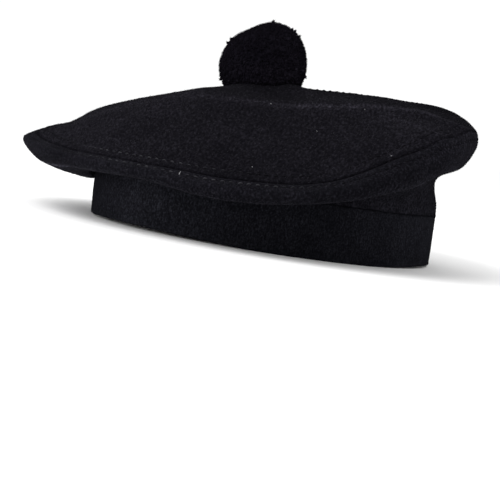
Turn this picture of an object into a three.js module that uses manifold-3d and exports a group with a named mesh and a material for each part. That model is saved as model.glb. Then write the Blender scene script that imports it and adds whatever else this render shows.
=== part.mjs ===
// Tam o' shanter: a wide round crown of thick felted wool on a narrow headband, with a cut wool pompom.
// Millimetres, +Z up. The wearer's brow is toward -Y and the left ear toward +X.
// The hat stands on the headband's bottom edge. The origin is the middle of its footprint, on the ground.
import * as THREE from "three";
import { mergeVertices } from "three/addons/utils/BufferGeometryUtils.js";
import Module from "manifold-3d";

const wasm = await Module();
wasm.setup();

// Driving dimensions, with x and y from the middle of the headband's foot
const FELT = 2.0; // wall of the crown
const GAP = 0.3; // clearance left between neighbouring pieces
const AROUND = 64; // sections round the crown
const SMOOTHING = 0.75; // how a section shares its bend out between long and short stretches

// The headband: half widths of its oval to the side and to the back, height, how far its top leans, wall
const BAND = { side: 82.2, back: 101.2, height: 28.6, lean: -1.5, wall: 3.4, around: 64 };

// The middle of the crown's top, in plan and in height
const CROWN = { x: -1.5, y: -19.5, top: 81.2 };

// How the crown meets the headband. Where its underside hangs lower than hangFrom above the band's top, it
// swings clear of the band by up to swing; where it stands, it drops to the band from up to drop above it.
const JOIN = { hangFrom: 8, hangSpan: 16, rest: -0.6, swing: 2, rise: 0.6, drop: 3, inset: 0.9, lift: 0.1 };

// The pompom: its middle in plan, its radius, its height above the crown's top, and its locks of yarn
const POM = { x: -2.1, y: -20.1, radius: 23.4, rise: 11.6, locks: 74, turn: 7 };

// One lock: its size, its share of that across and along, how deep its middle lies, how much that varies
const LOCK = { radius: 5.2, across: 0.86, along: 0.8, inset: 4.2, vary: 0.5 };

// The ball that holds the locks: how far it lies under their tips, its facets, how deep the crown cuts it
const HEAD = { inset: 1.6, around: 16, up: 10, bedDepth: 40 };

// Colours of the felt and the yarn, and their roughness
const COLOUR = { top: 0x1a191e, side: 0x18181c, band: 0x17171b, yarn: 0x0d0c11 };
const ROUGH = { felt: 0.95, yarn: 1.0 };

// Turns rows of numbers into objects with named columns.
function table(columns, rows) {
  return rows.map((row) => Object.fromEntries(columns.map((name, i) => [name, row[i]])));
}

// Sections of the crown, one row for each direction from the crown's middle. deg is measured from the
// brow toward the left ear; r is the distance from the crown's middle and z the height of the outer face.
// ridge: where the flat middle breaks into the slope; seam: the crown seam; rim: the widest place;
// low: the rolled lower edge; bag: where the underside hangs or stands before it reaches the headband.
const SECTIONS = table(
  [
    ...["deg", "ridgeR", "ridgeZ", "slopeR", "slopeZ", "seamR", "seamZ"],
    ...["rimR", "rimZ", "lowR", "lowZ", "bagR", "bagZ"],
  ],
  [
    [0, 40, 74.4, 78, 56.8, 113.5, 34.1, 121.4, 31.3, 119.3, 27.2, 96.1, 27],
    [22.5, 43, 73.6, 78, 56, 113, 34.7, 121.3, 31.3, 119.9, 28.3, 97.8, 27.9],
    [45, 45, 73.6, 79, 55.8, 113, 35, 121.5, 30.1, 119.6, 25.4, 102, 26.4],
    [67.5, 47, 75, 80, 59.6, 113, 40.6, 121.5, 36.2, 119.7, 31.6, 104, 31.2],
    [90, 54, 78.8, 84, 70.4, 114, 60.3, 121.2, 52.9, 119.4, 44.4, 101, 40.7],
    [112.5, 80, 82.6, 99, 79.7, 117.4, 74.7, 120.2, 66.8, 113.5, 55.8, 98.8, 46.6],
    [135, 98, 84, 110, 82, 117.1, 77.9, 118.9, 72.7, 114.4, 59.1, 99.1, 47.8],
    [157.5, 80, 84.6, 100, 84.3, 115.1, 86.2, 121.1, 78.7, 117.7, 63.2, 109.2, 46.4],
    [180, 70, 84.2, 95, 86, 112.5, 88.4, 122.5, 81.6, 123, 66.2, 119.8, 47.2],
    [202.5, 70, 83.4, 95, 85.4, 112.5, 87.8, 122.5, 80.8, 120.5, 64.2, 114.5, 46.2],
    [225, 60, 82, 90, 82.2, 113, 82.8, 122, 75.6, 115, 59.2, 104, 44.2],
    [247.5, 50, 78.8, 85, 73.8, 113, 68.8, 122, 62.2, 113, 50.2, 98, 38.2],
    [270, 45, 75.6, 82, 66, 113, 52.2, 121.5, 46.2, 112, 37.2, 92, 28.2],
    [292.5, 44, 71.6, 80, 60.6, 113, 44.4, 120.5, 37.7, 112.1, 28.8, 86.3, 19],
    [315, 42, 70.8, 80, 57.1, 113, 39, 119.9, 34.4, 111, 27.7, 79.3, 18.5],
    [337.5, 40, 72.6, 78, 56.8, 113, 36.2, 119.8, 32.5, 115.3, 26.3, 84.6, 23.1],
  ],
);

// Folds and dents on the crown: a soft ridge (height above 0) or valley along the line from x1, y1 to x2, y2.
const FOLDS = table(
  ["x1", "y1", "x2", "y2", "height", "halfWidth"],
  [
    [1, -64, 26, -59, 0.9, 8],
    [26, -59, 53, -28, 1.1, 8],
    [53, -28, 84, 16, 1.1, 8],
    [84, 16, 104, 31, 0.7, 7],
    [-2, -44, 62, 14, -1.0, 9],
    [97, 7, 111, 4, 0.8, 6],
    [98, -12, 111, 4, 0.8, 6],
    [-56, -104, -110, -53, -2.6, 9],
    [-40, 30, -70, 50, -1.4, 12],
    [0, 44, 22, 76, 1.2, 12],
    [7.4, -30.2, 15.5, -21.5, 4.8, 12.5],
  ],
);

// How far the headband's bottom edge lifts off the ground, by direction from the brow.
const FOOT_LIFTS = table(
  ["deg", "lift"],
  [
    [0, 1.8],
    [30, 1.2],
    [60, 0],
    [90, 0],
    [120, 1.3],
    [150, 0.3],
    [180, 0],
    [210, 0],
    [240, 0],
    [270, 0],
    [300, 0],
    [330, 0.6],
  ],
);

// Swells and hollows of the pompom: a direction from its middle, a height and an angular half width.
const POM_SWELLS = table(
  ["x", "y", "z", "height", "spread"],
  [
    [-0.37, -0.4, 0.84, -4.1, 0.42],
    [-0.66, -0.68, 0.3, -1.5, 0.35],
    [0.39, 0.42, 0.82, 1.4, 0.5],
    [-0.7, 0.66, 0.3, -1.2, 0.5],
    [0.5, -0.8, 0.1, 0.8, 0.4],
    [0.1, 0.9, 0.5, 0.9, 0.4],
  ],
);

const radians = THREE.MathUtils.degToRad;

// A row of a table whose directions are evenly spaced, blended smoothly to any direction.
function blendRow(rows, deg) {
  const count = rows.length;
  const place = (((deg % 360) + 360) % 360) / (360 / count);
  const i = Math.floor(place);
  const u = place - i;
  const row = (step) => rows[(i + step + count) % count];
  const blended = {};
  for (const name of Object.keys(rows[0])) {
    const [a, b, c, d] = [row(-1)[name], row(0)[name], row(1)[name], row(2)[name]];
    const bend = 2 * a - 5 * b + 4 * c - d + u * (3 * (b - c) + d - a);
    blended[name] = b + 0.5 * u * (c - a + u * bend);
  }
  return blended;
}

// Distance from the crown's middle to the headband's outer oval, at its top edge.
function bandReach(deg) {
  const [sx, sy] = [Math.sin(radians(deg)), -Math.cos(radians(deg))];
  const [x0, y0] = [CROWN.x, CROWN.y - BAND.lean];
  const a = (sx / BAND.side) ** 2 + (sy / BAND.back) ** 2;
  const b = (x0 * sx) / BAND.side ** 2 + (y0 * sy) / BAND.back ** 2;
  const c = (x0 / BAND.side) ** 2 + (y0 / BAND.back) ** 2 - 1;
  return (-b + Math.sqrt(b * b - a * c)) / a;
}

// The points of one section from the crown's middle to the headband's top, each as distance and height.
// The first point lies across the middle, so that the top runs smoothly over it.
function sectionPoints(deg) {
  const row = blendRow(SECTIONS, deg);
  const opposite = blendRow(SECTIONS, deg + 180);
  const edge = bandReach(deg);
  const hang = THREE.MathUtils.clamp((BAND.height + JOIN.hangFrom - row.bagZ) / JOIN.hangSpan, 0, 1);
  return [
    new THREE.Vector2(-opposite.ridgeR, opposite.ridgeZ),
    new THREE.Vector2(0, CROWN.top),
    new THREE.Vector2(row.ridgeR, row.ridgeZ),
    new THREE.Vector2(row.slopeR, row.slopeZ),
    new THREE.Vector2(row.seamR, row.seamZ),
    new THREE.Vector2(row.rimR, row.rimZ),
    new THREE.Vector2(row.lowR, row.lowZ),
    new THREE.Vector2(row.bagR, row.bagZ),
    new THREE.Vector2(
      edge + JOIN.rest + JOIN.swing * hang,
      BAND.height + JOIN.rise + JOIN.drop * (1 - hang),
    ),
    new THREE.Vector2(edge - JOIN.inset, BAND.height + GAP + JOIN.lift),
  ];
}

// A smooth curve through section points. knots[i] is where point i lies on it.
function sectionCurve(points) {
  const knots = [0];
  for (let i = 1; i < points.length; i += 1) {
    knots.push(knots[i - 1] + points[i].distanceTo(points[i - 1]) ** SMOOTHING);
  }
  const last = points.length - 1;
  const chord = (i) => points[i + 1].clone().sub(points[i]).divideScalar(knots[i + 1] - knots[i]);
  const slopes = points.map((point, i) => {
    if (i === 0 || i === last) return null;
    const before = knots[i] - knots[i - 1];
    const after = knots[i + 1] - knots[i];
    const sum = chord(i - 1).multiplyScalar(after).add(chord(i).multiplyScalar(before));
    return sum.divideScalar(before + after);
  });
  slopes[0] = chord(0).multiplyScalar(2).sub(slopes[1]);
  slopes[last] = chord(last - 1).multiplyScalar(2).sub(slopes[last - 1]);
  const at = (t) => {
    let i = 0;
    while (i < last - 1 && t >= knots[i + 1]) i += 1;
    const span = knots[i + 1] - knots[i];
    const u = (t - knots[i]) / span;
    return points[i].clone().multiplyScalar((1 + 2 * u) * (1 - u) ** 2)
      .addScaledVector(slopes[i], span * u * (1 - u) ** 2)
      .addScaledVector(points[i + 1], u * u * (3 - 2 * u))
      .addScaledVector(slopes[i + 1], span * u * u * (u - 1));
  };
  return { knots, at };
}

// Height that the folds add at a place on the crown.
function foldHeight(x, y) {
  const place = new THREE.Vector3(x, y, 0);
  const near = new THREE.Vector3();
  let height = 0;
  for (const fold of FOLDS) {
    const line = new THREE.Line3(
      new THREE.Vector3(fold.x1, fold.y1, 0),
      new THREE.Vector3(fold.x2, fold.y2, 0),
    );
    line.closestPointToPoint(place, true, near);
    height += fold.height * Math.exp(-((place.distanceTo(near) / fold.halfWidth) ** 2));
  }
  return height;
}

// Steps along a section between two of its points, the last one left out.
function stepsBetween(knots, from, to, count) {
  return Array.from({ length: count }, (_, i) => THREE.MathUtils.lerp(knots[from], knots[to], i / count));
}

// Where the points of a section lie on its curve, and how many steps lead to each from the one before
const POINT = { middle: 1, ridge: 2, slope: 3, seam: 4, rim: 5, low: 6, bag: 7, leave: 8, foot: 9 };
const STEPS = { ridge: 4, slope: 3, seam: 3, rim: 3, low: 3, bag: 4, leave: 3, foot: 2 };
const SEAM_STEP = STEPS.ridge + STEPS.slope + STEPS.seam; // the top's last step, the side's first is next
const SEAM_PROBE = 0.5; // stretch of a curve over which its speed at the seam is taken

// The outer face of the whole crown as rows of points, one row for each direction. The folds run over
// the seam and fade out between it and the rim.
function crownFace() {
  return Array.from({ length: AROUND }, (_, i) => {
    const deg = (360 * i) / AROUND;
    const { knots, at } = sectionCurve(sectionPoints(deg));
    const seam = knots[POINT.seam];
    const speed = at(seam + SEAM_PROBE).distanceTo(at(seam - SEAM_PROBE)) / (2 * SEAM_PROBE);
    const slack = GAP / 2 / speed;
    const steps = [
      ...stepsBetween(knots, POINT.middle, POINT.ridge, STEPS.ridge),
      ...stepsBetween(knots, POINT.ridge, POINT.slope, STEPS.slope),
      ...stepsBetween(knots, POINT.slope, POINT.seam, STEPS.seam),
      seam - slack,
      seam + slack,
      ...stepsBetween(knots, POINT.seam, POINT.rim, STEPS.rim).slice(1),
      ...stepsBetween(knots, POINT.rim, POINT.low, STEPS.low),
      ...stepsBetween(knots, POINT.low, POINT.bag, STEPS.bag),
      ...stepsBetween(knots, POINT.bag, POINT.leave, STEPS.leave),
      ...stepsBetween(knots, POINT.leave, POINT.foot, STEPS.foot),
      knots[POINT.foot],
    ];
    return steps.map((t) => {
      const { x: reach, y: height } = at(t);
      const x = CROWN.x + reach * Math.sin(radians(deg));
      const y = CROWN.y - reach * Math.cos(radians(deg));
      const share = (knots[POINT.rim] - t) / (knots[POINT.rim] - seam);
      return new THREE.Vector3(x, y, height + foldHeight(x, y) * THREE.MathUtils.clamp(share, 0, 1));
    });
  });
}

// The same rows moved inward by the felt's thickness, along the face's own normals.
// The two steps on either side of the seam share one normal, so the gap keeps its width.
function innerFace(rows, thickness) {
  const count = rows.length;
  return rows.map((row, i) =>
    row.map((point, j) => {
      const before = j === SEAM_STEP + 1 ? j - 2 : Math.max(j - 1, 0);
      const after = j === SEAM_STEP ? j + 2 : Math.min(j + 1, row.length - 1);
      const along = row[after].clone().sub(row[before]);
      const round = rows[(i + 1) % count][j].clone().sub(rows[(i - 1 + count) % count][j]);
      const inward = round.cross(along).normalize();
      if (j === 0) inward.set(0, 0, -1);
      return point.clone().addScaledVector(inward, thickness);
    }),
  );
}

// A closed shell between an outer and an inner face, both given as rows round the crown.
// poled: the first point of every row is the crown's middle, so no edge closes it there.
function shell(outer, inner, poled) {
  const count = outer.length;
  const length = outer[0].length;
  const corners = [];
  const quad = (a, b, c, d) => corners.push(a, b, c, a, c, d);
  for (let i = 0; i < count; i += 1) {
    const n = (i + 1) % count;
    for (let j = 0; j < length - 1; j += 1) {
      quad(outer[i][j], outer[i][j + 1], outer[n][j + 1], outer[n][j]);
      quad(inner[i][j], inner[n][j], inner[n][j + 1], inner[i][j + 1]);
    }
    quad(outer[i][length - 1], inner[i][length - 1], inner[n][length - 1], outer[n][length - 1]);
    if (!poled) quad(outer[i][0], outer[n][0], inner[n][0], inner[i][0]);
  }
  return new THREE.BufferGeometry().setFromPoints(corners);
}

// The headband's wall in section, from the foot round. out is the distance from the middle of the wall,
// as a share of half its thickness; share and extra give the height, as a share of the band's plus a length.
const BAND_WALL = table(
  ["out", "share", "extra"],
  [
    [-0.6, 0, 0],
    [0.6, 0, 0],
    [0.93, 0, 0.7],
    [1.06, 0, 2.4],
    [1, 0.5, 0],
    [1.12, 1, -2.6],
    [0.88, 1, -0.8],
    [0.41, 1, 0],
    [-0.41, 1, 0],
    [-0.88, 1, -0.8],
    [-1, 0.5, 0],
    [-1, 0, 2.4],
    [-0.93, 0, 0.7],
  ],
);

// The headband: its wall swept round the oval, leaning a little toward the brow, with a lifted foot.
function headbandGeometry() {
  const profile = BAND_WALL.map(({ out, share, extra }) => ({
    offset: ((out - 1) * BAND.wall) / 2,
    height: share * BAND.height + extra,
  }));
  const rows = Array.from({ length: BAND.around }, (_, i) => {
    const deg = (360 * i) / BAND.around;
    const [sx, sy] = [Math.sin(radians(deg)), -Math.cos(radians(deg))];
    const outward = new THREE.Vector2(sx / BAND.side, sy / BAND.back).normalize();
    const { lift } = blendRow(FOOT_LIFTS, deg);
    return profile.map(({ offset, height }) => {
      const share = height / BAND.height;
      return new THREE.Vector3(
        BAND.side * sx + outward.x * offset,
        BAND.back * sy + outward.y * offset + BAND.lean * share,
        height + Math.max(lift, 0) * (1 - share) ** 2,
      );
    });
  });
  const corners = [];
  rows.forEach((row, i) => {
    const next = rows[(i + 1) % rows.length];
    row.forEach((point, j) => {
      const k = (j + 1) % row.length;
      corners.push(point, next[k], row[k], point, next[j], next[k]);
    });
  });
  return new THREE.BufferGeometry().setFromPoints(corners);
}

const SAME_PLACE = 1e-3; // corners closer than this are one

// A geometry as a solid that can be joined and cut.
function solidOf(geometry) {
  const plain = geometry.clone();
  plain.deleteAttribute("normal");
  plain.deleteAttribute("uv");
  const merged = mergeVertices(plain, SAME_PLACE);
  return new wasm.Manifold(
    new wasm.Mesh({
      numProp: 3,
      vertProperties: merged.attributes.position.array,
      triVerts: new Uint32Array(merged.index.array),
    }),
  );
}

function geometryOf(solid) {
  const mesh = solid.getMesh();
  return new THREE.BufferGeometry()
    .setAttribute("position", new THREE.BufferAttribute(mesh.vertProperties, 3))
    .setIndex(new THREE.BufferAttribute(mesh.triVerts, 1));
}

// Distance from the pompom's middle to its surface in a direction.
function pomReach(direction) {
  let reach = POM.radius;
  for (const { x, y, z, height, spread } of POM_SWELLS) {
    const angle = direction.angleTo(new THREE.Vector3(x, y, z));
    reach += height * Math.exp(-((angle / spread) ** 2));
  }
  return reach;
}

// Evenly spread directions over a ball, by the golden angle.
function ballDirection(i, count) {
  const z = 1 - (2 * i + 1) / count;
  const turn = i * Math.PI * (3 - Math.sqrt(5));
  const flat = Math.sqrt(1 - z * z);
  return new THREE.Vector3(flat * Math.cos(turn), flat * Math.sin(turn), z);
}

// The pompom: locks of yarn fused to a head, cut off underneath where it sits on the crown's top.
function pompomGeometry(bed) {
  const middle = new THREE.Vector3(POM.x, POM.y, CROWN.top + POM.rise);
  const head = new THREE.SphereGeometry(1, HEAD.around, HEAD.up);
  const corners = head.attributes.position;
  const corner = new THREE.Vector3();
  for (let i = 0; i < corners.count; i += 1) {
    corner.fromBufferAttribute(corners, i).normalize();
    corner.multiplyScalar(pomReach(corner) - HEAD.inset).add(middle);
    corners.setXYZ(i, corner.x, corner.y, corner.z);
  }
  let solid = solidOf(head);
  for (let i = 0; i < POM.locks; i += 1) {
    const direction = ballDirection(i, POM.locks);
    const lock = new THREE.IcosahedronGeometry(LOCK.radius, 0);
    lock.scale(LOCK.across, LOCK.across, LOCK.along);
    lock.rotateZ(i * POM.turn);
    lock.applyQuaternion(new THREE.Quaternion().setFromUnitVectors(new THREE.Vector3(0, 0, 1), direction));
    const reach = pomReach(direction) - LOCK.inset + LOCK.vary * Math.sin(i * POM.turn);
    lock.translate(...direction.multiplyScalar(reach).add(middle).toArray());
    solid = solid.add(solidOf(lock));
  }
  return geometryOf(solid.subtract(bed));
}

// A named piece with its material.
function piece(name, geometry, color, roughness) {
  const material = new THREE.MeshStandardMaterial({ color, roughness, metalness: 0 });
  geometry.computeVertexNormals();
  const mesh = new THREE.Mesh(geometry, material);
  mesh.name = name;
  return mesh;
}

const face = crownFace();
const inside = innerFace(face, FELT);
const pick = (rows, from, to) => rows.map((row) => row.slice(from, to));

const topShell = shell(pick(face, 0, SEAM_STEP + 1), pick(inside, 0, SEAM_STEP + 1), true);
const sideShell = shell(pick(face, SEAM_STEP + 1), pick(inside, SEAM_STEP + 1), false);

// What the pompom must stay clear of: everything under the crown's top face
const bedRows = pick(face, 0, SEAM_STEP).map((row) =>
  row.map((point) => point.clone().setZ(point.z + GAP)),
);
const bedFloor = bedRows.map((row) => row.map((point) => point.clone().setZ(point.z - HEAD.bedDepth)));
const bed = solidOf(shell(bedRows, bedFloor, true));

const tam = new THREE.Group();
tam.add(
  piece("crown_top", topShell, COLOUR.top, ROUGH.felt),
  piece("crown_side", sideShell, COLOUR.side, ROUGH.felt),
  piece("headband", headbandGeometry(), COLOUR.band, ROUGH.felt),
  piece("pompom", pompomGeometry(bed), COLOUR.yarn, ROUGH.yarn),
);

// The origin goes to the middle of the whole hat's footprint, on the ground.
const bounds = new THREE.Box3().setFromObject(tam, true);
const footprint = bounds.getCenter(new THREE.Vector3()).setZ(bounds.min.z);
tam.position.sub(footprint);

export default tam;
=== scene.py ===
# Tam o' shanter: a wide round crown of thick felted wool on a narrow headband, with a cut wool pompom.
# Sizes are millimetres until a mesh is made. +Z is up, the brow is toward -Y, the left ear toward +X.
import math
import random

import bpy
import numpy as np
from mathutils import Matrix, Vector, noise


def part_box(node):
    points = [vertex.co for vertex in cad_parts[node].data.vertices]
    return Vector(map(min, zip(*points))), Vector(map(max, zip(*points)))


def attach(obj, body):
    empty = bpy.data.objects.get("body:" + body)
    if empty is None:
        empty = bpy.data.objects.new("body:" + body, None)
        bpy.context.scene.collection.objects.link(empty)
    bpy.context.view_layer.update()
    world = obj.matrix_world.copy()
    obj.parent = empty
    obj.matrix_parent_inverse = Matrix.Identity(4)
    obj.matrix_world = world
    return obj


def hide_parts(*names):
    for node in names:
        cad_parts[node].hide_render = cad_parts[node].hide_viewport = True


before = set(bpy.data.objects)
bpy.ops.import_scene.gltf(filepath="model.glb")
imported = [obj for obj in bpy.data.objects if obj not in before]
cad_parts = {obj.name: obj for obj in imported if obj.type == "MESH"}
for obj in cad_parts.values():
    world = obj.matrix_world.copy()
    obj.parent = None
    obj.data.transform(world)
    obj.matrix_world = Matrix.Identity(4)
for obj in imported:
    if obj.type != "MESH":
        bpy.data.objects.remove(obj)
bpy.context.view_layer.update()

MM = 0.001
FELT = 2.0  # wall of the crown
GAP = 0.3  # how far over the headband the crown's smooth sections end, with the lift of the join added
CUT_EDGE = math.radians(60)  # cloth that turns more than this has a cut edge there
SMOOTHING = 0.75  # how a section shares its bend out between long and short stretches
FINE_STEPS = 900  # points along a section by which its length is measured
TOP, SEAM, RIM, LOW, BAG = 1, 4, 5, 6, 7  # places of these among a section's points

# The headband: half widths of its oval, height, how far its top leans toward the back, wall
BAND_SIDE, BAND_BACK, BAND_HEIGHT, BAND_LEAN, BAND_WALL = 82.2, 101.2, 28.6, -1.5, 3.4

# The middle of the crown's top, from the middle of the headband's foot
CROWN_X, CROWN_Y, CROWN_TOP = -1.5, -19.5, 81.2

# How the crown meets the headband
HANG_FROM, HANG_SPAN, JOIN_REST, JOIN_SWING = 8, 16, -0.6, 2
JOIN_RISE, JOIN_DROP, JOIN_INSET, JOIN_LIFT = 0.6, 3, 0.9, 0.1
# How far its last stretch stands out and reaches down. Where it hangs, this takes it into the headband
END_PUSH, END_SPAN, END_DROP = 0.5, 2.2, 0.25

# Sections of the crown by direction from its middle, in degrees from the brow toward the left ear: reach
# and height of the ridge, the slope, the seam, the rim, the rolled lower edge and the hanging underside
SECTIONS = [
    # deg, ridge, slope, seam, rim, low, bag
    [0, 40, 74.4, 78, 56.8, 113.5, 34.1, 121.4, 31.3, 119.3, 27.2, 96.1, 27],
    [22.5, 43, 73.6, 78, 56, 113, 34.7, 121.3, 31.3, 119.9, 28.3, 97.8, 27.9],
    [45, 45, 73.6, 79, 55.8, 113, 35, 121.5, 30.1, 119.6, 25.4, 102, 26.4],
    [67.5, 47, 75, 80, 59.6, 113, 40.6, 121.5, 36.2, 119.7, 31.6, 104, 31.2],
    [90, 54, 78.8, 84, 70.4, 114, 60.3, 121.2, 52.9, 119.4, 44.4, 101, 40.7],
    [112.5, 80, 82.6, 99, 79.7, 117.4, 74.7, 120.2, 66.8, 113.5, 55.8, 98.8, 46.6],
    [135, 98, 84, 110, 82, 117.1, 77.9, 118.9, 72.7, 114.4, 59.1, 99.1, 47.8],
    [157.5, 80, 84.6, 100, 84.3, 115.1, 86.2, 121.1, 78.7, 117.7, 63.2, 109.2, 46.4],
    [180, 70, 84.2, 95, 86, 112.5, 88.4, 122.5, 81.6, 123, 66.2, 119.8, 47.2],
    [202.5, 70, 83.4, 95, 85.4, 112.5, 87.8, 122.5, 80.8, 120.5, 64.2, 114.5, 46.2],
    [225, 60, 82, 90, 82.2, 113, 82.8, 122, 75.6, 115, 59.2, 104, 44.2],
    [247.5, 50, 78.8, 85, 73.8, 113, 68.8, 122, 62.2, 113, 50.2, 98, 38.2],
    [270, 45, 75.6, 82, 66, 113, 52.2, 121.5, 46.2, 112, 37.2, 92, 28.2],
    [292.5, 44, 71.6, 80, 60.6, 113, 44.4, 120.5, 37.7, 112.1, 28.8, 86.3, 19],
    [315, 42, 70.8, 80, 57.1, 113, 39, 119.9, 34.4, 111, 27.7, 79.3, 18.5],
    [337.5, 40, 72.6, 78, 56.8, 113, 36.2, 119.8, 32.5, 115.3, 26.3, 84.6, 23.1],
]

# Folds and dents: a ridge (height above 0) or valley along a line in plan
FOLDS = [
    # x1, y1, x2, y2, height, half width
    [1, -64, 26, -59, 0.9, 8],
    [26, -59, 53, -28, 1.1, 8],
    [53, -28, 84, 16, 1.1, 8],
    [84, 16, 104, 31, 0.7, 7],
    [-2, -44, 62, 14, -1.0, 9],
    [97, 7, 111, 4, 0.8, 6],
    [98, -12, 111, 4, 0.8, 6],
    [-56, -104, -110, -53, -2.6, 9],
    [-40, 30, -70, 50, -1.4, 12],
    [0, 44, 22, 76, 1.2, 12],
    [7.4, -30.2, 15.5, -21.5, 4.8, 12.5],
]

# Lines along the ridges of the top along which a highlight is painted into the nap's colour
RIDGE_HIGHLIGHTS = [
    # x1, y1, x2, y2, how much, half width
    [-55, -106, -36, -96, 0.5, 5],
    [-36, -96, -11, -78, 0.6, 6],
    [-11, -78, 12, -68, 0.5, 4],
    [12, -68, 24, -64, 0.6, 2.5],
    [24, -64, 33, -56, 0.9, 2],
    [33, -56, 40, -48, 1.3, 2],
    [40, -48, 50, -37, 1.3, 2],
    [50, -37, 59, -25, 1.5, 2],
    [59, -25, 64, -16, 1.5, 2],
    [64, -16, 75, 2, 1.4, 2],
    [75, 2, 87, 19, 1.2, 2],
    [87, 19, 103, 29, 1.2, 2],
    [85, -4, 96, 0, 0.4, 4],
    [96, 0, 108, 3, 0.5, 3],
]

# Past this line across the top, from left to right, shade is painted into the nap's colour, where the top
# turns away from the light
SHADE_LINE = [[-30, -70], [12, -62], [30, -52], [45, -33], [60, -14], [72, 6], [84, 24], [99, 38], [112, 44]]

# How far the headband's bottom edge lifts off the ground, by direction from the brow
FOOT_LIFTS = [
    [0, 1.8], [30, 1.2], [60, 0], [90, 0], [120, 1.3], [150, 0.3],
    [180, 0], [210, 0], [240, 0], [270, 0], [300, 0], [330, 0.6],
]

# Swells and hollows of the pompom: a direction from its middle, a height and an angular half width
POM_SWELLS = [
    [-0.37, -0.4, 0.84, -4.1, 0.42],
    [-0.66, -0.68, 0.3, -1.5, 0.35],
    [0.39, 0.42, 0.82, 1.4, 0.5],
    [-0.7, 0.66, 0.3, -1.2, 0.5],
    [0.5, -0.8, 0.1, 0.8, 0.4],
    [0.1, 0.9, 0.5, 0.9, 0.4],
]
POM_X, POM_Y, POM_RADIUS, POM_RISE = -2.1, -20.1, 23.4, 11.6

# Lumps in the cloth: size, seed and height
CROWN_LUMPS = [[36, 11.3, 0.5], [13, 5.7, 0.2], [5, 8.9, 0.07]]
BAND_LUMPS = [[30, 41.0, 0.3], [11, 43.0, 0.16], [5, 47.0, 0.06]]

# Grooves of the sewn joins: depth, half width, and the height, distance and half width of the lips beside it
CROWN_SEAM = (0.6, 0.75, 0.2, 2.4, 1.5)
SIDE_JOIN = (0.75, 0.6, 0.3, 2.2, 1.2)
BAND_JOIN = (0.6, 0.5, 0.25, 2.0, 1.1)
STITCH_SINK, STITCH_SPAN = 0.18, 0.8  # how far and how widely the topstitching draws the cloth in

# Puckers beside the seam and slack lower down: height, then radius, size and seed of the noise, then where
PUCKER, PUCKER_NOISE, PUCKER_FROM, PUCKER_SPAN = 0.3, (113, 7.5, 3.1), 3.5, 4.0
SLACK, SLACK_NOISE, SLACK_FROM, SLACK_RISE, SLACK_FALL = 0.7, (100, 38, 21.7), 12, 14, 16

# The directions between which the crown's seam is felted over, and how little of it shows there
FELTED_MIDDLE, FELTED_HALF, FELTED_FADE, SEAM_LEAST, GAP_LEAST = 126, 18, 22, 0.05, 0.03

# The middle of the headband's foot in the part's frame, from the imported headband's box
band_low, band_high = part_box("headband")
SHIFT = np.array([(band_low.x + band_high.x) / 2 / MM, band_high.y / MM - BAND_BACK, 0.0])

AROUND = 360  # directions round the hat
BACK_SEAM = 180.0  # direction of the vertical joins at the back
directions = sorted(
    {round(360 * i / AROUND, 4) for i in range(AROUND)}
    | {round(BACK_SEAM + 0.25 * i, 4) for i in range(-10, 11)}
)


def blend_rows(rows, deg):
    """A row of a table whose directions are evenly spaced, blended smoothly to any direction."""
    values = np.array([row[1:] for row in rows], float)
    place = (deg % 360) * len(rows) / 360
    i = int(place)
    u = place - i
    a, b, c, d = (values[(i + k) % len(rows)] for k in (-1, 0, 1, 2))
    bend = 2 * a - 5 * b + 4 * c - d + u * (3 * (b - c) + d - a)
    return b + 0.5 * u * (c - a + u * bend)


def band_reach(deg):
    """Distance from the crown's middle to the headband's outer oval, at its top edge."""
    sx, sy = math.sin(math.radians(deg)), -math.cos(math.radians(deg))
    x0, y0 = CROWN_X, CROWN_Y - BAND_LEAN
    a = (sx / BAND_SIDE) ** 2 + (sy / BAND_BACK) ** 2
    b = x0 * sx / BAND_SIDE**2 + y0 * sy / BAND_BACK**2
    c = (x0 / BAND_SIDE) ** 2 + (y0 / BAND_BACK) ** 2 - 1
    return (-b + math.sqrt(b * b - a * c)) / a


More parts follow.
